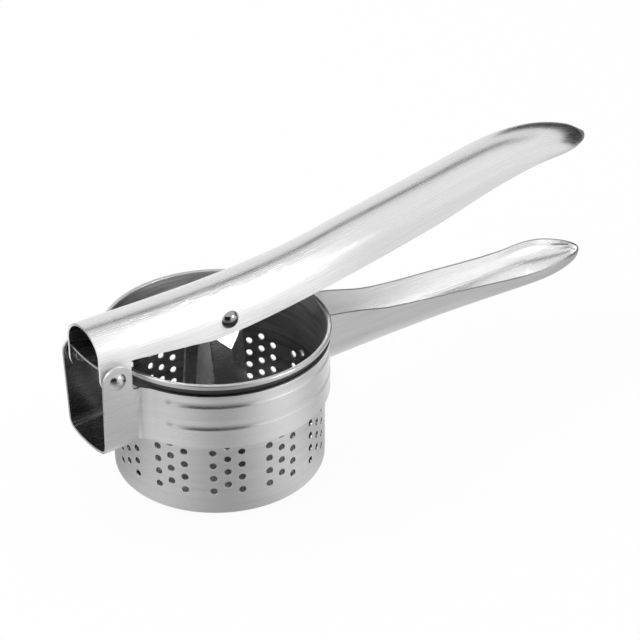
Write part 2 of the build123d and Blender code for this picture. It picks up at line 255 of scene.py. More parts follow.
def smooth_value(knots, place):
    """Height of a smooth line through (place, value) knots."""
    last = len(knots) - 2
    span = max((i for i in range(last + 1) if knots[i][0] <= place), default=0)

    def slope(i):
        before, after = knots[max(i - 1, 0)], knots[min(i + 1, last + 1)]
        return (after[1] - before[1]) / (after[0] - before[0])

    (x0, y0), (x1, y1) = knots[span], knots[span + 1]
    step = x1 - x0
    t = (place - x0) / step
    rise = (2 * t**3 - 3 * t**2 + 1) * y0 + (3 * t**2 - 2 * t**3) * y1
    bend = (t**3 - 2 * t**2 + t) * slope(span) + (t**3 - t**2) * slope(span + 1)
    return rise + bend * step


def rounded_end(x, reach, length):
    """Share of the width left at x, for an end rounded as half an ellipse."""
    into = max(x - (reach - length), 0.0) / length
    return sqrt(max(1 - into**2, 0.0))


def run_lengths(line):
    """Distance of each point of a line from the line's start."""
    runs = [0.0]
    for a, b in zip(line, line[1:]):
        runs.append(runs[-1] + dist(a, b))
    return runs


def along(line, distances):
    """Points at rising distances along a line of points."""
    runs = run_lengths(line)
    found = []
    k = 0
    for want in distances:
        while k < len(line) - 2 and runs[k + 1] < want:
            k += 1
        t = (want - runs[k]) / max(runs[k + 1] - runs[k], shortest_step)
        t = min(max(t, 0.0), 1.0)
        found.append(tuple(p + (q - p) * t for p, q in zip(line[k], line[k + 1])))
    return found


def rounded_line(corners, steps):
    """Line through (x, y, radius) corners, each rounded by an arc of that radius."""
    points = [corners[0][:2]]
    for before, here, after in zip(corners, corners[1:], corners[2:]):
        corner, radius = Vector(here[:2]), here[2]
        if radius <= 0:
            points.append(tuple(corner))
            continue
        a = (Vector(before[:2]) - corner).normalized()
        b = (Vector(after[:2]) - corner).normalized()
        half = a.angle(b) / 2
        reach = radius / tan(half)
        middle = corner + (a + b).normalized() * (radius / sin(half))
        start = corner + a * reach - middle
        stop = corner + b * reach - middle
        for i in range(steps + 1):
            way = start.lerp(stop, i / steps).normalized() * radius
            points.append(tuple(middle + way))
    points.append(corners[-1][:2])
    return points


def add_object(name, data):
    """New object in the scene."""
    obj = bpy.data.objects.new(name, data)
    bpy.context.scene.collection.objects.link(obj)
    return obj


def soften(obj, width):
    """Small rounding along the sharp edges of a piece."""
    edge = obj.modifiers.new("edge", "BEVEL")
    edge.width = width * MM
    edge.segments = soft_segments
    edge.limit_method = "ANGLE"
    edge.angle_limit = radians(soft_angle)
    edge.harden_normals = True


class Skin:
    """One mesh in the making. Grain runs along the first grain coordinate."""

    def __init__(self, period=None):
        self.points, self.grain, self.normals = [], [], []
        self.faces, self.kinds, self.shaped = [], [], []
        self.period = period

    def add(self, point, grain, normal=(0, 0, 0)):
        """A point, with its number as the result."""
        self.points.append(point)
        self.grain.append(grain)
        self.normals.append(normal)
        return len(self.points) - 1

    def face(self, corners, kind=outside, shaped=True):
        """A face; a shaped one takes the normals of its points, where they have any."""
        self.faces.append(list(corners))
        self.kinds.append(kind)
        self.shaped.append(shaped)

    def strip(self, lower, upper, kind=outside, closed=False, shaped=True):
        """Quads between two rows of the same length."""
        count = len(lower)
        for i in range(count if closed else count - 1):
            j = (i + 1) % count
            self.face((lower[i], lower[j], upper[j], upper[i]), kind, shaped)

    def sheet(self, rows, kind=outside, closed=False, flipped=False):
        """Strips between each row and the next."""
        for a, b in zip(rows, rows[1:]):
            lower, upper = (a, b) if flipped else (b, a)
            self.strip(lower, upper, kind, closed)

    def loop_normals(self):
        """Normal of each face corner, or zero where it follows from the faces."""
        return [self.normals[c] if shaped else (0, 0, 0)
                for corners, shaped in zip(self.faces, self.shaped) for c in corners]

    def corner_grain(self, corners):
        """Grain of a face's corners, carried on past the seam of a closed skin."""
        grain = [self.grain[c] for c in corners]
        if self.period:
            low = min(g[0] for g in grain)
            grain = [(g[0] - self.period if g[0] - low > self.period / 2 else g[0], g[1]) for g in grain]
        return grain

    def mesh(self, name, materials, crease):
        """The skin as a mesh with its grain, materials and smooth shading."""
        mesh = bpy.data.meshes.new(name)
        mesh.from_pydata([tuple(v * MM for v in p) for p in self.points], [], self.faces)
        layer = mesh.uv_layers.new(name=grain_layer)
        values = [v for corners in self.faces for g in self.corner_grain(corners) for v in g]
        layer.data.foreach_set("uv", values)
        mesh.polygons.foreach_set("material_index", self.kinds)
        for material in materials:
            mesh.materials.append(material)
        mesh.shade_smooth()
        mesh.set_sharp_from_angle(angle=radians(crease))
        if any(any(normal) for normal in self.normals):
            mesh.normals_split_custom_set(self.loop_normals())
        return mesh

    def piece(self, node, body, slot, materials, crease, bevel=0.0, thickness=0.0):
        """The skin as a piece that rides on a body and stands for a CAD node."""
        name = f"{node}_skin"
        obj = add_object(name, self.mesh(name, materials, crease))
        if thickness:
            solid = obj.modifiers.new("thickness", "SOLIDIFY")
            solid.thickness = thickness * MM
            solid.offset = -1
            solid.use_even_offset = True
            solid.material_offset = len(materials) - 1
            solid.material_offset_rim = 0
        if bevel:
            soften(obj, bevel)
        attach(obj, body)
        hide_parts(node)


def feed(tree, socket, value):
    """Link a socket to an output, or set its value."""
    if isinstance(value, bpy.types.NodeSocket):
        tree.links.new(value, socket)
    else:
        socket.default_value = value


def set_inputs(tree, node, **inputs):
    """Feed a node's inputs by name, with an underscore for each space."""
    for name, value in inputs.items():
        feed(tree, node.inputs[name.replace("_", " ")], value)


def node_of(tree, kind, **inputs):
    """A shader node with its inputs fed."""
    node = tree.nodes.new(kind)
    set_inputs(tree, node, **inputs)
    return node


def maths(tree, operation, *values):
    """Result of a maths node."""
    node = tree.nodes.new("ShaderNodeMath")
    node.operation = operation
    for socket, value in zip(node.inputs, values):
        feed(tree, socket, value)
    return node.outputs["Value"]


def ranged(tree, value, source, target=(0.0, 1.0), smooth=False):
    """A value carried over from one range to another."""
    node = node_of(tree, "ShaderNodeMapRange", Value=value, From_Min=source[0], From_Max=source[1],
                   To_Min=target[0], To_Max=target[1])
    if smooth:
        node.interpolation_type = "SMOOTHSTEP"
    return node.outputs["Result"]


def colour_mix(tree, share, first, second):
    """Colour between two, by a share."""
    node = tree.nodes.new("ShaderNodeMix")
    node.data_type = "RGBA"
    for index, value in zip(mix_inputs, (share, first, second)):
        feed(tree, node.inputs[index], value)
    return node.outputs[mix_output]


def noise(tree, place, scale, detail, roughness=0.5):
    """Noise with scales along and across the first axis."""
    stretched = node_of(tree, "ShaderNodeMapping", Vector=place, Scale=(scale[0], scale[1], scale[1]))
    return node_of(tree, "ShaderNodeTexNoise", Vector=stretched.outputs["Vector"], Scale=1.0, Detail=detail,
                   Roughness=roughness).outputs["Fac"]


def satin_sides(tree, satin):
    """Metallic share of a channel: satin sides, bright crown and tip."""
    place = node_of(tree, "ShaderNodeSeparateXYZ", Vector=node_of(tree, "ShaderNodeUVMap").outputs["UV"])
    off_crown = maths(tree, "ABSOLUTE", place.outputs["Y"])
    crown = ranged(tree, off_crown, satin_sides_at, (1.0, 1.0 - satin), smooth=True)
    tip = ranged(tree, place.outputs["X"], bright_tip_at, smooth=True)
    return maths(tree, "MAXIMUM", crown, tip)


def painted_depth_shade(tree, object_place, colour):
    """A cup's colour with painted shade, darker towards its floor."""
    axes = node_of(tree, "ShaderNodeSeparateXYZ", Vector=object_place)
    scaled = node_of(tree, "ShaderNodeVectorMath")
    scaled.operation = "SCALE"
    feed(tree, scaled.inputs[0], colour)
    set_inputs(tree, scaled, Scale=ranged(tree, axes.outputs["Z"], painted_shade_heights, painted_shade_shares, smooth=True))
    return scaled.outputs["Vector"]


def steel_tone(tree, streaks, bands, shade, uneven):
    """Grey that is uneven along streaks and bands, with a painted highlight on its edges."""
    mixed = maths(tree, "ADD", ranged(tree, streaks, noise_middle, (0.0, streak_share)),
                  ranged(tree, bands, noise_middle, (0.0, band_share)))
    light, dark = min(shade * (1 + uneven), 1.0), shade * (1 - uneven)
    tone = colour_mix(tree, mixed, (dark, dark, dark * dark_tint, 1), (light, light, light * light_tint, 1))
    edges = node_of(tree, "ShaderNodeNewGeometry").outputs["Pointiness"]
    # Painted highlight: edges lighter by pointiness
    edge_highlight = ranged(tree, edges, edge_highlight_pointiness, (0.0, edge_highlight_share))
    return colour_mix(tree, edge_highlight, tone, (edge_highlight_shade, edge_highlight_shade, edge_highlight_shade, 1))


def brushed_steel(name, shade, rough, grain=1.0, uneven=0.1, anisotropy=0.4, satin=0.0, use_grain=True,
                  cup=False):
    """Brushed steel: streaks along the grain, soft patches and a painted highlight on the edges."""
    material = bpy.data.materials.new(name)
    material.use_nodes = True
    tree = material.node_tree
    object_place = node_of(tree, "ShaderNodeTexCoord").outputs["Object"]
    place = node_of(tree, "ShaderNodeUVMap").outputs["UV"] if use_grain else object_place
    size = 1.0 if use_grain else 1.0 / MM
    streaks = noise(tree, place, [n * size for n in streak_scale], streak_detail, streak_roughness)
    bands = noise(tree, place, [n * size for n in band_scale], band_detail)
    patches = node_of(tree, "ShaderNodeTexNoise", Vector=object_place, Scale=patch_scale, Detail=patch_detail)
    colour = steel_tone(tree, streaks, bands, shade, uneven)
    haze = maths(tree, "ADD", ranged(tree, patches.outputs["Fac"], noise_middle, (-patch_haze, patch_haze)),
                 ranged(tree, streaks, noise_middle, (rough - streak_haze, rough + streak_haze)))
    bump = node_of(tree, "ShaderNodeBump", Height=streaks, Strength=streak_relief * grain,
                   Distance=relief_depth)
    shader = tree.nodes["Principled BSDF"]
    set_inputs(tree, shader, Roughness=haze, Normal=bump.outputs["Normal"], Anisotropic=anisotropy,
               Anisotropic_Rotation=grain_turn, Metallic=satin_sides(tree, satin) if satin else 1.0,
               Base_Color=painted_depth_shade(tree, object_place, colour) if cup else colour)
    if use_grain:
        tangent = node_of(tree, "ShaderNodeTangent")
        tangent.direction_type = "UV_MAP"
        tangent.uv_map = grain_layer
        set_inputs(tree, shader, Tangent=tangent.outputs["Tangent"])
    return material


def wall_angles():
    """Lattice lines round the wall: columns of holes and a plain strip in each group."""
    column = degrees(column_pitch / foot_radius)
    turn = 360 / group_count
    widths = [column] * columns_in_group + [turn - columns_in_group * column]
    lines = []
    for group in range(group_count):
        start = group_turn + group * turn - columns_in_group / 2 * column
        for n, width in enumerate(widths):
            lines += [start + n * column + width * k / cell_lines for k in range(cell_lines)]
    return lines


def cell_border(i, j, width, height):
    """Lattice points round a cell, from its first corner."""
    border = [(i + d, j) for d in range(width)] + [(i + width, j + d) for d in range(height)]
    border += [(i + width - d, j + height) for d in range(width)]
    return border + [(i, j + height - d) for d in range(height)]


def hole_cells():
    """First line and row of each hole in the wall; a group's middle column is raised."""
    strips = columns_in_group + 1
    cells = []
    for column in range(strips * group_count):
        if column % strips == columns_in_group:
            continue
        lift = cell_lines // 2 if column % strips == columns_in_group // 2 else 0
        cells += [(column * cell_lines, lift + row * cell_lines) for row in range(rows_in_column)]
    return cells


def wall_radius(z, inset):
    """Radius of the basket's tapered wall at a height."""
    taper = (neck_radius - foot_radius) / (neck_z - basket_corner)
    return foot_radius + taper * (z - basket_corner) - inset


def cup_side(inset, zone):
    """Floor, corner and perforated zone of the profile, as (radius, height)."""
    flat = foot_radius - basket_corner
    corner = basket_corner - inset
    turns = [pi / 2 * k / corner_steps for k in range(corner_steps + 1)]
    arc = [(flat + corner * sin(a), basket_corner - corner * cos(a)) for a in turns]
    return [(flat - floor_margin, inset)] + arc + [(wall_radius(z, inset), z) for z in zone]


def rim_line():
    """Plain wall, flare, lip and inside of the profile, as (radius, height)."""
    under, outer, top, inner = lip_rounds
    return rounded_line([
        (wall_radius(plain_wall_z, 0), plain_wall_z, 0),
        (wall_radius(flare_shadow_z, 0), flare_shadow_z, 0),
        (neck_radius, neck_z, neck_rounds[0]),
        (rim_radius - lip_setback, lip_z - lip_drop, under),
        (rim_radius, lip_z, outer),
        (rim_radius, basket_height, top),
        (rim_radius - lip_width, basket_height, inner),
        (neck_radius - basket_wall, neck_z, neck_rounds[1]),
        (wall_radius(plain_wall_z, basket_wall), plain_wall_z, 0),
    ], corner_steps)


class Basket:
    """Drawn cup: rings of points along its profile, and holes in its wall."""

    def __init__(self):
        self.skin = Skin(period=2 * pi * foot_radius)
        self.angles = wall_angles()
        first_z, rows = first_row_height - row_pitch / 2, cell_lines * rows_in_column + cell_lines // 2
        self.zone = [first_z + row_pitch / cell_lines * k for k in range(rows + 1)]
        outer, inner = cup_side(0, self.zone), cup_side(basket_wall, self.zone)
        self.profile = outer + rim_line() + inner[::-1]
        self.runs = run_lengths(self.profile)
        self.outer_rows = len(outer)
        self.first_outer = len(outer) - len(self.zone)
        self.first_inner = len(self.profile) - len(inner) + len(self.zone) - 1
        self.inside_from = next(k for k, (r, z) in enumerate(self.profile)
                                if k >= len(outer) and r < rim_radius - lip_width and z > lip_z)
        self.rings = [self.ring(k) for k in range(len(self.profile))]

    def ring(self, k):
        """Points round the cup at one place of the profile."""
        r, z = self.profile[k]
        before = self.profile[max(k - 1, 0)]
        after = self.profile[min(k + 1, len(self.profile) - 1)]
        way = Vector((after[1] - before[1], before[0] - after[0])).normalized()
        ring = []
        for angle in self.angles:
            a = radians(angle)
            normal = (way[0] * cos(a), way[0] * sin(a), way[1])
            grain = (foot_radius * a, self.runs[k])
            ring.append(self.skin.add((r * cos(a), r * sin(a), z), grain, normal))
        return ring

    def kind(self, k):
        """Material of the faces above a row of the profile."""
        if k >= self.inside_from:
            return inside
        if flare_shadow_z <= self.profile[k][1] < lip_z - flare_shadow_gap:
            return shadow
        return outside

    def add_wall(self, cells):
        """Faces of the profile, apart from the cells that hold a hole."""
        size = range(cell_lines)
        holes = {(i + di, j + dj) for i, j in cells for di in size for dj in size}
        count = len(self.angles)
        for k, (low, high) in enumerate(zip(self.rings, self.rings[1:])):
            row = k - self.first_outer if k < self.outer_rows else self.first_inner - 1 - k
            for i in range(count):
                if (i, row) not in holes:
                    j = (i + 1) % count
                    self.skin.face((low[i], low[j], high[j], high[i]), self.kind(k))

    def zone_row(self, j, inset):
        """Row of the profile for a row of the zone, outside or inside."""
        return self.first_inner - j if inset else self.first_outer + j

    def hole_circle(self, cell, border, inset, size, depth):
        """Circle of a hole on one side of the wall, a point for each point of the border."""
        middle = (cell[0] + cell_lines // 2, cell[1] + cell_lines // 2)
        centre, height = radians(self.angles[middle[0]]), self.zone[middle[1]]
        out = -1 if inset else 1
        circle = []
        for i, j in border:
            turn = atan2((j - middle[1]) * row_pitch, (i - middle[0]) * column_pitch)
            a = centre + size * cos(turn) / foot_radius
            z = height + size * sin(turn)
            r = wall_radius(z, inset) - out * depth
            run = self.runs[self.zone_row(middle[1], inset)] + (z - height) * out
            normal = (out * cos(a), out * sin(a), 0)
            circle.append(self.skin.add((r * cos(a), r * sin(a), z), (foot_radius * a, run), normal))
        return circle

    def hole_edge(self, cell, inset):
        """Border of a hole on one side of the wall, and the circles of its chamfer."""
        border = cell_border(*cell, cell_lines, cell_lines)
        rim = [self.rings[self.zone_row(j, inset)][i % len(self.angles)] for i, j in border]
        edge = self.hole_circle(cell, border, inset, hole_radius + hole_chamfer, 0.0)
        deep = self.hole_circle(cell, border, inset, hole_radius, hole_chamfer)
        return rim, edge, deep

    def add_hole(self, cell):
        """Chamfered hole through the wall."""
        skin = self.skin
        rim, edge, deep = self.hole_edge(cell, 0)
        skin.strip(rim, edge, closed=True)
        skin.strip(edge, deep, closed=True, shaped=False)
        back_rim, back_edge, back_deep = self.hole_edge(cell, basket_wall)
        skin.strip(back_edge, back_rim, inside, closed=True)
        skin.strip(back_deep, back_edge, inside, closed=True, shaped=False)
        skin.strip(deep, back_deep, inside, closed=True, shaped=False)


def floor_radii():
    """Radii of the floor's lattice, with cells for each ring of holes."""
    flat = foot_radius - basket_corner - floor_rim_gap
    radii = [floor_ring_pitch / 2]
    for ring in range(1, floor_rings + 1):
        low = floor_ring_pitch * (ring - 0.5)
        top = min(floor_ring_pitch * (ring + 0.5), flat)
        radii += [low + (top - low) * k / cell_lines for k in range(1, cell_lines + 1)]
    return radii


def floor_cell(rows, first, ring, m):
    """Border of the cell round one hole of the floor."""
    count = len(rows[0])
    width = count // (floor_holes_step * ring)
    start = first + m * width - width // 2
    border = cell_border(start, cell_lines * (ring - 1), width, cell_lines)
    return [rows[j][i % count] for i, j in border]


def floor_circle(skin, rim, centre, height, normal):
    """Circle of a hole in the floor, a point for each point of its border."""
    circle = []
    for v in rim:
        way = (Vector(skin.points[v][:2]) - Vector(centre)).normalized() * hole_radius
        x, y = centre[0] + way.x, centre[1] + way.y
        grain = (foot_radius * atan2(y, x), sqrt(x * x + y * y))
        circle.append(skin.add((x, y, height), grain, normal))
    return circle


def basket_floor(skin, outer_ring, height, kind, facing_up):
    """Floor with its holes, joined to the wall's lowest ring; gives the holes' circles."""
    count = len(outer_ring)
    step = 360 / count
    first = round(-wall_angles()[0] / step)
    normal = (0, 0, 1 if facing_up else -1)
    turns = [radians(step * (i - first)) for i in range(count)]
    rows = [[skin.add((r * cos(a), r * sin(a), height), (foot_radius * a, r), normal) for a in turns]
            for r in floor_radii()]

    def face(corners):
        skin.face(corners if facing_up else corners[::-1], kind)

    for i in range(count):
        j = (i + 1) % count
        face((rows[-1][i], outer_ring[i], outer_ring[j], rows[-1][j]))
    centre = skin.add((0, 0, height), (0, 0), normal)
    for i in range(count):
        face((centre, rows[0][i], rows[0][(i + 1) % count]))
    circles = []
    for ring in range(1, floor_rings + 1):
        holes = floor_holes_step * ring
        for m in range(holes):
            rim = floor_cell(rows, first, ring, m)
            a = radians(step * m * (count // holes))
            place = (ring * floor_ring_pitch * cos(a), ring * floor_ring_pitch * sin(a))
            circle = floor_circle(skin, rim, place, height, normal)
            circles.append(circle)
            for p in range(len(rim)):
                q = (p + 1) % len(rim)
                face((rim[p], circle[p], circle[q], rim[q]))
    return circles


def basket(materials):
    """Perforated cup with its flared rim."""
    cup = Basket()
    cells = hole_cells()
    cup.add_wall(cells)
    for cell in cells:
        cup.add_hole(cell)
    under = basket_floor(cup.skin, cup.rings[0], 0.0, outside, False)
    over = basket_floor(cup.skin, cup.rings[-1], basket_wall, inside, True)
    for low, high in zip(under, over):
        cup.skin.strip(low, high, inside, closed=True, shaped=False)
    cup.skin.piece("basket", "cup", "basket_steel", materials, basket_crease)


def bead_dip(angle, z):
    """How deep the rolled beads are pressed into the band."""
    dip = 0.0
    for height in bead_heights:
        past = max(abs(angle) - bead_end_angle, bead_handle_angle - abs(angle), 0.0)
        reach = sqrt((z - height) ** 2 + (radians(past) * band_radius) ** 2)
        if reach < bead_radius:
            dip = max(dip, sqrt(bead_radius**2 - reach**2) - bead_radius + bead_depth)
    return dip


def yoke_half(z):
    """Half width of the yoke at a height."""
    return yoke_half_width + yoke_lean * (z - yoke_level_z)


def yoke_side():
    """Outer U of the yoke, from the front ear down to the middle of the keel, as (y, z)."""
    bow = (yoke_half_width**2 + yoke_keel_bow**2) / (2 * yoke_keel_bow)
    side = yoke_keel + yoke_keel_bow
    roof = pivot_z + 2 * ear_radius
    corners = [(-yoke_half(roof), roof, 0), (-yoke_half(side), side, yoke_corner)]
    corners += [(y, yoke_keel + bow - sqrt(bow**2 - y**2), 0) for y in keel_stations]
    return rounded_line(corners, keel_corner_steps)


def cheek_half(side, z):
    """Half width of the U at a height on its side or corner."""
    for (y0, z0), (y1, z1) in zip(side, side[1:]):
        if z1 <= z <= z0:
            return -(y0 + (y1 - y0) * (z0 - z) / (z0 - z1))
    return yoke_half(z)


def band_heights():
    """Rows of the strip, with one on each edge of the beads and one past it."""
    edge = sqrt(bead_radius**2 - (bead_radius - bead_depth) ** 2)
    marks = [band_bottom]
    for height in bead_heights[::-1]:
        marks += [height - edge - bead_margin, height - edge, height + edge, height + edge + bead_margin]
    marks.append(band_top)
    rows = []
    for low, high in zip(marks, marks[1:]):
        count = max(round((high - low) / band_row_height), 1)
        rows += [low + (high - low) * k / count for k in range(count)]
    return rows + [band_top]


def cheek_lengths():
    """Places along a cheek, from its free end past the ear's notch to the bend."""
    length = ear_edge + ear_notch_round - yoke_end
    return [yoke_end + length * k / cheek_columns for k in range(cheek_columns + 1)] + [bend_x]


def cheek(skin, side, way):
    """Columns of one cheek, from its free end to the bend."""
    return [[skin.add((x, way * cheek_half(side, z), z), (x, z)) for z in band_heights()]
            for x in cheek_lengths()]


def band_plan():
    """Way round the strip: place, angle on the ring if it is there, share of the cheek's lean.

    A place on the ring is for a radius of one.
    """
    ring_start = degrees(atan2(-bend_y, bend_x))
    bend = []
    for k in range(1, bend_columns + 1):
        a = radians(90 - (180 + ring_start) * k / bend_columns)
        place = (bend_x + yoke_bend_radius * cos(a), -bend_y + yoke_bend_radius * sin(a))
        bend.append((place, None, (1 - k / bend_columns) ** 2))
    angles = [ring_start - 2 * ring_start * k / ring_columns for k in range(1, ring_columns)]
    ring = [((cos(radians(angle)), sin(radians(angle))), angle, 0.0) for angle in angles]
    return bend + ring + [((x, -y), None, share) for (x, y), _, share in bend[::-1]]


def band_columns(skin):
    """Columns of the strip, on its bends and on the ring with its beads."""
    columns = []
    run = bend_x
    last = (bend_x, -yoke_half_width)
    for (x, y), angle, lean in band_plan():
        ring = band_radius if angle is not None else 1.0
        run += dist((x * ring, y * ring), last)
        last = (x * ring, y * ring)
        column = []
        for z in band_heights():
            if angle is None:
                out = (yoke_half(z) - yoke_half_width) * lean
                point = (x, y + (out if y > 0 else -out), z)
            else:
                r = band_radius - bead_dip(angle, z)
                point = (r * x, r * y, z)
            column.append(skin.add(point, (run, z)))
        columns.append(column)
    return columns


def add_ear(skin, columns, way):
    """Ear over a cheek, with a rounded notch at its foot and a round top."""
    quarter = [pi / 2 * k / notch_steps for k in range(1, notch_steps + 1)]
    curve = [(ear_edge + ear_notch_round * (1 - sin(a)), band_top + ear_notch_round * (1 - cos(a)))
             for a in quarter]
    turns = [pi * k / ear_steps for k in range(ear_steps + 1)]
    curve += [(pivot_x + ear_radius * cos(a), pivot_z + ear_radius * sin(a)) for a in turns]
    loop = [column[-1] for column in columns[:-1]]
    loop += [skin.add((x, way * yoke_half(z), z), (x, z)) for x, z in curve]
    skin.face(loop if way < 0 else loop[::-1])


def add_keel(skin, side, front, rear):
    """Bottom of the U, from one cheek's lower edge to the other's, and on to the inside of the ring."""
    low = [(-cheek_half(side, band_bottom), band_bottom)]
    low += [(y, z) for y, z in side if z < band_bottom - keel_gap]
    line = low + [(-y, z) for y, z in low[-2::-1]]
    edges = {line[0]: front, line[-1]: rear}
    rows = []
    for y, z in line:
        if (y, z) in edges:
            row = [column[0] for column in edges[y, z]]
        else:
            row = [skin.add((x, y, z), (x, z + y)) for x in cheek_lengths()]
        reach = -sqrt((band_radius - sheet) ** 2 - y**2) - bend_x
        places = [bend_x + reach * k / keel_columns for k in range(1, keel_columns + 1)]
        rows.append(row + [skin.add((x, y, z), (x, z + y)) for x in places])
    skin.sheet(rows)


def holder_band(materials):
    """Strip ring with beads, two cheeks with ears, and the keel between the cheeks."""
    skin = Skin()
    side = yoke_side()
    front, rear = cheek(skin, side, -1), cheek(skin, side, 1)
    columns = [front[-1]] + band_columns(skin) + [rear[-1]]
    skin.sheet(front)
    skin.sheet(rear, flipped=True)
    skin.sheet(columns)
    add_ear(skin, front, -1)
    add_ear(skin, rear, 1)
    add_keel(skin, side, front, rear)
    skin.piece("holder_band", "holder", "holder_steel", materials, sheet_crease, band_soft, sheet)


def section(half, edge, crown, rise):
    """Front half of an arched section, from its free edge to the crown, as (y, z)."""
    outward = 1 if crown > edge else -1
    spring = crown - outward * rise
    over = outward * (spring - edge)
    line = [(-half, edge)] if over > 0 else []
    first = 0.0 if over > 0 else asin(min(-over / rise, 1.0))
    for k in range(arc_points + 1):
        a = first + (pi / 2 - first) * k / arc_points
        line.append((-half * cos(a), spring + outward * rise * sin(a)))
    total = run_lengths(line)[-1]
    split = min(max(over, least_wall), most_wall_share * total)
    want = [split * k / wall_rows for k in range(wall_rows)]
    want += [split + (total - split) * k / arc_rows for k in range(arc_rows + 1)]
    return along(line, want)


def channel_rows(skin, places, outline, inset):
    """Rows of points across a channel, one at each place along it."""
    rows = []
    for x in places:
        front = section(*outline(x, inset))
        whole = front + [(-y, z) for y, z in front[-2::-1]]
        runs = run_lengths(whole)
        rows.append([skin.add((x, y, z), (x, run - runs[-1] / 2)) for (y, z), run in zip(whole, runs)])
    return rows


def channel(straight, round_start, tip_round, outline):
    """Channel of an outer and an inner skin, with rows closer together in its round tip."""
    skin = Skin()
    shares = [sin(pi / 2 * k / tip_rows) for k in range(tip_rows + 1)]
    layers = []
    for inset, gap in ((0.0, tip_gap), (sheet, pocket_gap)):
        places = straight + [round_start + (tip_round - gap) * share for share in shares]
        layers.append(channel_rows(skin, places, outline, inset))
    outer, inner = layers
    skin.sheet(outer)
    skin.sheet(inner, inside, flipped=True)
    for a, b, c, d in zip(outer, outer[1:], inner, inner[1:]):
        skin.face((b[0], a[0], c[0], d[0]))
        skin.face((a[-1], b[-1], d[-1], c[-1]))
    skin.strip(outer[0], inner[0])
    tip, pocket = outer[-1], inner[-1]
    skin.face(tip[::-1])
    skin.face(pocket, inside)
    skin.face((pocket[0], pocket[-1], tip[-1], tip[0]))
    return skin


def handle_outline(x, inset):
    """Half width, edge, keel and rise of the lower handle's section at x."""
    place = (x - handle_root) / (handle_reach - handle_root)
    left = rounded_end(x, handle_reach, handle_tip_round)
    half = max(smooth_value(handle_half_widths, place) * left - inset, least_half)
    edge = band_top - smooth_value(handle_edge_drops, place)
    keel = handle_keel + handle_tip_rise * (1 - left) + inset
    return half, edge, keel, min(half, trough_roundness * (edge - keel))


def lower_handle(materials):
    """Trough handle with a spoon end and a root that follows the band."""
    round_start = handle_reach - handle_tip_round
    straight = [handle_root + (round_start - handle_root) * (k / handle_rows) for k in range(handle_rows)]
    skin = channel(straight, round_start, handle_tip_round, handle_outline)
    skin.points = [(max(x, sqrt(band_radius**2 - y**2)), y, z) for x, y, z in skin.points]
    skin.faces = [face[::-1] for face in skin.faces]
    skin.piece("lower_handle", "holder", "handle_steel", materials, sheet_crease, sheet_soft)


def lever_edge(x):
    """Lower edge of the lever at x: hinge lug, notch over the rim, belly and spoon."""
    if x <= lug_side:
        return pivot_z - lug_below_pivot * sqrt(max(1 - ((x - lug_middle) / lug_half) ** 2, 0.0))
    knots = [(lug_side, lever_notch_rise)]
    knots += [(lever_end + p * (lever_reach - lever_end), rise) for p, rise in lever_edges]
    height = basket_height + smooth_value(knots, min(x, lever_reach))
    into = x - lug_side
    if into < lever_notch_round:
        height -= lever_notch_round - sqrt(lever_notch_round**2 - (lever_notch_round - into) ** 2)
    return height


def lever_outline(x, inset):
    """Half width, edge, crown and rise of the upper lever's section at x."""
    place = (x - lever_end) / (lever_reach - lever_end)
    half = smooth_value(lever_half_widths, place) * rounded_end(x, lever_reach, lever_tip_round)
    crown = basket_height + smooth_value(lever_crowns, place) - inset
    rise = max(min(lever_arch, half) - inset, least_half)
    edge = min(lever_edge(x), crown - least_half)
    return max(half - inset, least_half), edge, crown, rise


def upper_lever(materials):
    """Arched channel lever with its hinge lugs and spoon end."""
    round_start = lever_reach - lever_tip_round
    straight = [lug_middle - lug_half * cos(pi * k / lug_steps) for k in range(lug_steps + 1)]
    straight.append(lug_side + lever_notch_start)
    quarter = [pi / 2 * k / notch_steps for k in range(1, notch_steps + 1)]
    straight += [lug_side + lever_notch_round * (1 - cos(a)) for a in quarter]
    start = straight[-1]
    straight += [start + (round_start - start) * k / lever_rows for k in range(1, lever_rows)]
    skin = channel(straight, round_start, lever_tip_round, lever_outline)
    skin.piece("upper_lever", "lever", "lever_steel", materials, sheet_crease, sheet_soft)


def turned(profile, place, along_y=0, segments=round_segments, bored=False):
    """Round skin from a (radius, height) profile, upright or along Y, solid or bored."""
    skin = Skin(period=turned_grain)
    x, z = place
    rings = []
    for (r, h), run in zip(profile, run_lengths(profile)):
        ring = []
        for i in range(segments):
            a = 2 * pi * i / segments
            point = (x + r * cos(a), -r * sin(a), z + h)
            if along_y:
                point = (x + r * cos(a), along_y * h, z + along_y * r * sin(a))
            ring.append(skin.add(point, (turned_grain * i / segments, run)))
        rings.append(ring)
    if bored:
        rings.append(rings[0])
    else:
        skin.face(rings[0])
        skin.face(rings[-1][::-1])
    skin.sheet(rings, closed=True)
    return skin


def dome_profile(radius, height, seat):
    """Low dome on a seat, from its rim to its top."""
    ball = (radius**2 + height**2) / (2 * height)
    full = asin(radius / ball)
    turns = [full * (1 - k / dome_steps) for k in range(dome_steps)]
    dome = [(ball * sin(a), height - ball + ball * cos(a)) for a in turns] + [(axis_gap, height)]
    return [(r, h + seat) for r, h in dome]


def hinge_rivet(word, side, material):
    """Rivet through an ear, domed outside and clinched inside."""
    ear_face = yoke_half(pivot_z)
    clinch = [(axis_gap, clinch_inner), (clinch_radius, clinch_inner), (clinch_radius, clinch_outer),
              (rivet_radius, clinch_outer), (rivet_radius, ear_face)]
    profile = clinch + dome_profile(rivet_head_radius, rivet_head_height, ear_face)
    skin = turned(profile, (pivot_x, pivot_z), side)
    skin.piece(f"pivot_rivet_{word}", "holder", "fastener_steel", [material], turned_crease, head_soft)


def washer(node, body, size, place, side, material):
    """Plain ring on a rivet or pin."""
    bore, radius, inner, outer = size
    profile = [(bore, inner), (radius, inner), (radius, outer), (bore, outer)]
    skin = turned(profile, place, side, bored=True)
    skin.piece(node, body, "fastener_steel", [material], turned_crease, washer_soft)


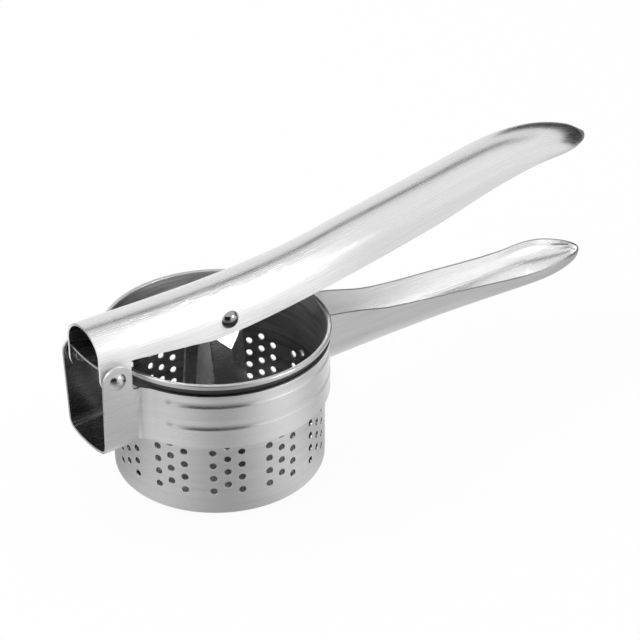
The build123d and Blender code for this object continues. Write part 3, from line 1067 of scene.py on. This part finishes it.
def plunger_pin(material):
    """Pin through the lever, with a domed head at each end."""
    head = dome_profile(pin_head_radius, pin_head_height, pin_seat)
    profile = [(r, -h) for r, h in head[::-1]] + [(pin_radius, -pin_seat), (pin_radius, pin_seat)] + head
    skin = turned(profile, (pin_x, pin_z), 1)
    skin.piece("plunger_pin", "lever", "fastener_steel", [material], turned_crease, head_soft)


def press_plate(material):
    """Dished plate with its flange turned up."""
    inner = plate_radius - plate_sheet
    floor_z = plate_z + plate_sheet
    profile = rounded_line([
        (axis_gap, plate_z, 0), (plate_radius, plate_z, plate_corner),
        (plate_radius, plate_flange_z, plate_edge_round), (inner, plate_flange_z, plate_edge_round),
        (inner, floor_z, plate_inner_corner), (axis_gap, floor_z, 0),
    ], corner_steps)
    skin = turned(profile, (0, 0), segments=plate_segments)
    skin.piece("press_plate", "plunger", "plunger_steel", [material], turned_crease)


def ricer():
    """All pieces; bridge and bracket are the CAD shapes, with their material and softened edges."""
    basket([
        brushed_steel("basket_outside", shade=0.62, rough=0.32),
        # Painted shade: the inside is a darker copy of the basket's steel, with more painted shade towards
        # its floor
        brushed_steel("basket_inside", shade=0.36, rough=0.34, uneven=0.6, cup=True),
        # Painted shadow: the underside of the flare is a near-black copy of the steel
        brushed_steel("basket_flare_painted_shadow", shade=0.09, rough=0.4, uneven=0.3),
    ])
    holder_band([
        brushed_steel("holder_outside", shade=0.73, rough=0.3, uneven=0.05, grain=0.5),
        # Painted shade: the inside is a darker copy of the holder's steel
        brushed_steel("holder_inside", shade=0.3, rough=0.26, uneven=0.1, grain=0.4),
    ])
    lower_handle([
        brushed_steel("handle_outside", shade=0.66, rough=0.34),
        # Painted light: the inside is a lighter copy of the handle's steel
        brushed_steel("handle_inside", shade=0.95, rough=0.25, uneven=0.03, grain=0.1, satin=0.8),
    ])
    upper_lever([
        brushed_steel("lever_outside", shade=0.8, rough=0.25, uneven=0.05, grain=0.4, satin=0.85),
        # Painted shade: the inside is a darker copy of the lever's steel
        brushed_steel("lever_inside", shade=0.3, rough=0.26, uneven=0.1, grain=0.4),
    ])
    rivet_steel = brushed_steel("rivet_heads", shade=0.62, rough=0.17, grain=0.3, anisotropy=0.2)
    for side, word in ((-1, "front"), (1, "rear")):
        hinge_rivet(word, side, rivet_steel)
        washer(f"pivot_washer_{word}", "holder", pivot_washer, (pivot_x, pivot_z), side, rivet_steel)
        washer(f"pin_washer_{word}", "lever", pin_washer, (pin_x, pin_z), side, rivet_steel)
    plunger_pin(brushed_steel("pin_heads", shade=0.4, rough=0.13, grain=0.3, anisotropy=0.2))
    # Painted shade: the plate is darkened to stand for the shade inside the basket
    press_plate(brushed_steel("press_plate_sheet", shade=0.28, rough=0.4))
    strap = brushed_steel("plunger_sheet", shade=0.58, rough=0.24, grain=0.02, uneven=0.05, anisotropy=0.0,
                          use_grain=False)
    for name in ("lever_bridge", "plunger_bracket"):
        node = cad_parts[name]
        node.data.materials.clear()
        node.data.materials.append(strap)
        soften(node, sheet_soft)


def direction(azimuth, elevation):
    """Way out from the object, by angles in degrees."""
    az, el = radians(azimuth), radians(elevation)
    return Vector((cos(az) * cos(el), sin(az) * cos(el), sin(el)))


def aimed(obj, place, aim):
    """Put a stage object at a place, facing another."""
    obj.location = place
    obj.rotation_mode = "QUATERNION"
    obj.rotation_quaternion = (Vector(aim) - Vector(place)).to_track_quat("-Z", "Y")


def unseen(obj):
    """Stage object that the camera and the shadows pass through."""
    obj.visible_camera = False
    obj.visible_diffuse = False
    obj.visible_shadow = False
    obj.visible_transmission = False


def card(name, azimuth, elevation, distance, width, height):
    """Dark card that only reflections see."""
    bpy.ops.mesh.primitive_plane_add(size=1.0)
    obj = bpy.context.object
    obj.name = name
    obj.scale = (width, height, 1)
    aimed(obj, Vector(card_aim) + direction(azimuth, elevation) * distance, card_aim)
    material = bpy.data.materials.new(name)
    material.use_nodes = True
    tree = material.node_tree
    set_inputs(tree, tree.nodes["Principled BSDF"], Base_Color=(card_shade, card_shade, card_shade, 1),
               Roughness=1.0, Specular_IOR_Level=0.0)
    obj.data.materials.append(material)
    unseen(obj)


def emptied(owner, kind):
    """Empty shader tree of a material or world, and the input of its output node."""
    owner.use_nodes = True
    owner.node_tree.nodes.clear()
    return owner.node_tree, owner.node_tree.nodes.new(kind).inputs["Surface"]


def shader_mix(tree, share, first, second):
    """Shader between two, by a share."""
    mix = tree.nodes.new("ShaderNodeMixShader")
    for socket, value in zip(mix.inputs, (share, first, second)):
        feed(tree, socket, value)
    return mix.outputs[0]


def ring_tones(angle):
    """Tones of the floor in reflections at an azimuth, from the object outwards."""
    tone = 1.0
    for middle, width, depth in ring_flags:
        off = (angle - middle + 180) % 360 - 180
        tone -= depth * exp(-((off / width) ** 2))
    facing = max([1 - ((angle - middle) / width) ** 2 for middle, width in ring_sectors] + [0.0])
    return [tone * (1 - ring_sector_depth * facing * far) for _, far in ring_reaches]


def ring_card():
    """Soft grey gradient round the object, on the floor, that only reflections see."""
    rows = len(ring_reaches)
    points, tones, faces = [], [], []
    for k in range(card_columns):
        angle = -180 + 360 * k / card_columns
        points += [(r * cos(radians(angle)), r * sin(radians(angle)), floor_gap) for r, _ in ring_reaches]
        tones += ring_tones(angle)
        here, there = rows * k, rows * ((k + 1) % card_columns)
        faces += [(here + n, here + n + 1, there + n + 1, there + n) for n in range(rows - 1)]
    mesh = bpy.data.meshes.new("card_ring")
    mesh.from_pydata(points, [], faces)
    mesh.attributes.new("level", "FLOAT", "POINT").data.foreach_set("value", tones)
    material = bpy.data.materials.new("card_ring")
    tree, surface = emptied(material, "ShaderNodeOutputMaterial")
    tone = tree.nodes.new("ShaderNodeAttribute")
    tone.attribute_name = "level"
    glow = node_of(tree, "ShaderNodeEmission", Color=(1, 1, 1, 1), Strength=tone.outputs["Fac"])
    feed(tree, surface, glow.outputs[0])
    mesh.materials.append(material)
    unseen(add_object("card_ring", mesh))


def lamp(name, place, aim, width, height, power, spread):
    """Soft rectangular lamp."""
    light = bpy.data.lights.new(name, "AREA")
    light.shape = "RECTANGLE"
    light.size, light.size_y = width, height
    light.energy = power
    light.spread = radians(spread)
    aimed(add_object(name, light), place, aim)


def floor():
    """White floor that still takes the shadow."""
    bpy.ops.mesh.primitive_plane_add(size=floor_size, location=(0, 0, -floor_gap))
    obj = bpy.context.object
    obj.name = "floor"
    material = bpy.data.materials.new("floor_white")
    tree, surface = emptied(material, "ShaderNodeOutputMaterial")
    matt = node_of(tree, "ShaderNodeBsdfDiffuse", Color=(floor_shade, floor_shade, floor_shade, 1))
    glow = node_of(tree, "ShaderNodeEmission", Color=(1, 1, 1, 1), Strength=1.0)
    path = tree.nodes.new("ShaderNodeLightPath").outputs
    seen = maths(tree, "ADD", path["Is Camera Ray"], path["Is Glossy Ray"])
    seen.node.use_clamp = True
    share = maths(tree, "MULTIPLY", seen, floor_glow)
    feed(tree, surface, shader_mix(tree, share, matt.outputs[0], glow.outputs[0]))
    obj.data.materials.append(material)


def surroundings():
    """White surroundings, a little greyer overhead in reflections."""
    world = bpy.data.worlds.new("studio")
    bpy.context.scene.world = world
    tree, surface = emptied(world, "ShaderNodeOutputWorld")
    place = node_of(tree, "ShaderNodeTexCoord").outputs["Generated"]
    height = node_of(tree, "ShaderNodeSeparateXYZ", Vector=place).outputs["Z"]
    grey = ranged(tree, height, (0.0, 1.0), (1.0, sky_overhead))
    around = node_of(tree, "ShaderNodeBackground", Color=grey, Strength=sky_strength)
    white = node_of(tree, "ShaderNodeBackground", Color=(1, 1, 1, 1), Strength=1.0)
    seen = tree.nodes.new("ShaderNodeLightPath").outputs["Is Camera Ray"]
    feed(tree, surface, shader_mix(tree, seen, around.outputs[0], white.outputs[0]))


def studio():
    """Floor, surroundings, lamps and the cards that give the steel its streaks."""
    floor()
    surroundings()
    ring_card()
    for row in lamps:
        lamp(*row)
    for row in cards:
        card(*row)


def camera():
    """The photograph's view."""
    data = bpy.data.cameras.new("camera")
    data.lens = view_lens
    obj = add_object("camera", data)
    aimed(obj, Vector(view_aim) + direction(view_azimuth, view_elevation) * view_distance, view_aim)
    bpy.context.scene.camera = obj


ricer()
studio()
camera()
bpy.context.scene.view_settings.view_transform = "Standard"
